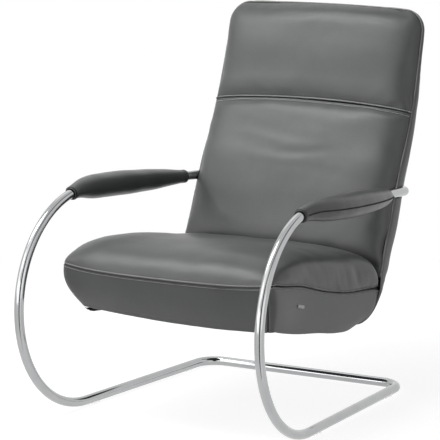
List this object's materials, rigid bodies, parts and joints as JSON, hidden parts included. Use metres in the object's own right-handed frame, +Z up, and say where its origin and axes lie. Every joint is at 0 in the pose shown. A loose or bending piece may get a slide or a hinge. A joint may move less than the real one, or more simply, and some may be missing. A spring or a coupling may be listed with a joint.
{
  "type": "cantilever lounge chair",
  "caption": "Padded leather lounge chair with a high back and headrest, hung from one bent steel tube that forms the floor runners, the sprung round front and the padded arms.",
  "frame": {"origin": "middle of the bounding box in plan, on the floor under the glides", "axes": "+Z up, -Y is the way a sitter faces, +X to the sitter's left"},
  "size_m": [0.7704, 1.0114, 1.0161],
  "materials": {
    "steel_tube": "satin",
    "leather": "satin",
    "foam": "matte",
    "inner_steel": "satin",
    "black_cloth": "matte",
    "glide_plastic": "matte",
    "tag_cloth": "matte"
  },
  "bodies": {
    "floor_frame": {"base_frame": "steel_tube", "front_glide_right": "glide_plastic", "rear_glide_right": "glide_plastic", "front_glide_left": "glide_plastic", "rear_glide_left": "glide_plastic"},
    "swing": {"arm_frame": "steel_tube", "arm_pad_cover_right": "leather", "arm_pad_front_cuff_right": "leather", "arm_pad_rear_cuff_right": "leather", "arm_pad_foam_right": "foam", "clamp_right": "inner_steel", "arm_pad_cover_left": "leather", "arm_pad_front_cuff_left": "leather", "arm_pad_rear_cuff_left": "leather", "arm_pad_foam_left": "foam", "clamp_left": "inner_steel", "seat_cover": "leather", "seat_border": "leather", "back_cover": "leather", "headrest_cover": "leather", "rear_cover": "leather", "seat_foam": "foam", "back_foam": "foam", "headrest_foam": "foam", "seat_tag": "tag_cloth", "dust_cover": "black_cloth", "back_strap_1": "black_cloth", "back_strap_2": "black_cloth", "back_strap_3": "black_cloth", "back_strap_4": "black_cloth", "shell_frame": "inner_steel", "seat_spring_1": "inner_steel", "seat_spring_2": "inner_steel", "seat_spring_3": "inner_steel", "seat_spring_4": "inner_steel", "clamp_screw_1": "inner_steel", "clamp_screw_2": "inner_steel", "clamp_screw_3": "inner_steel", "clamp_screw_4": "inner_steel"}
  },
  "joints": [
    {"name": "frame_sway", "type": "hinge", "parent": "floor_frame", "child": "swing", "pos_m": [0, -0.49348, 0.2981], "axis": [-1, 0, 0], "range_deg": [-1, 5], "stiffness_Nm_per_rad": 4050, "springref_deg": -1.41}
  ]
}
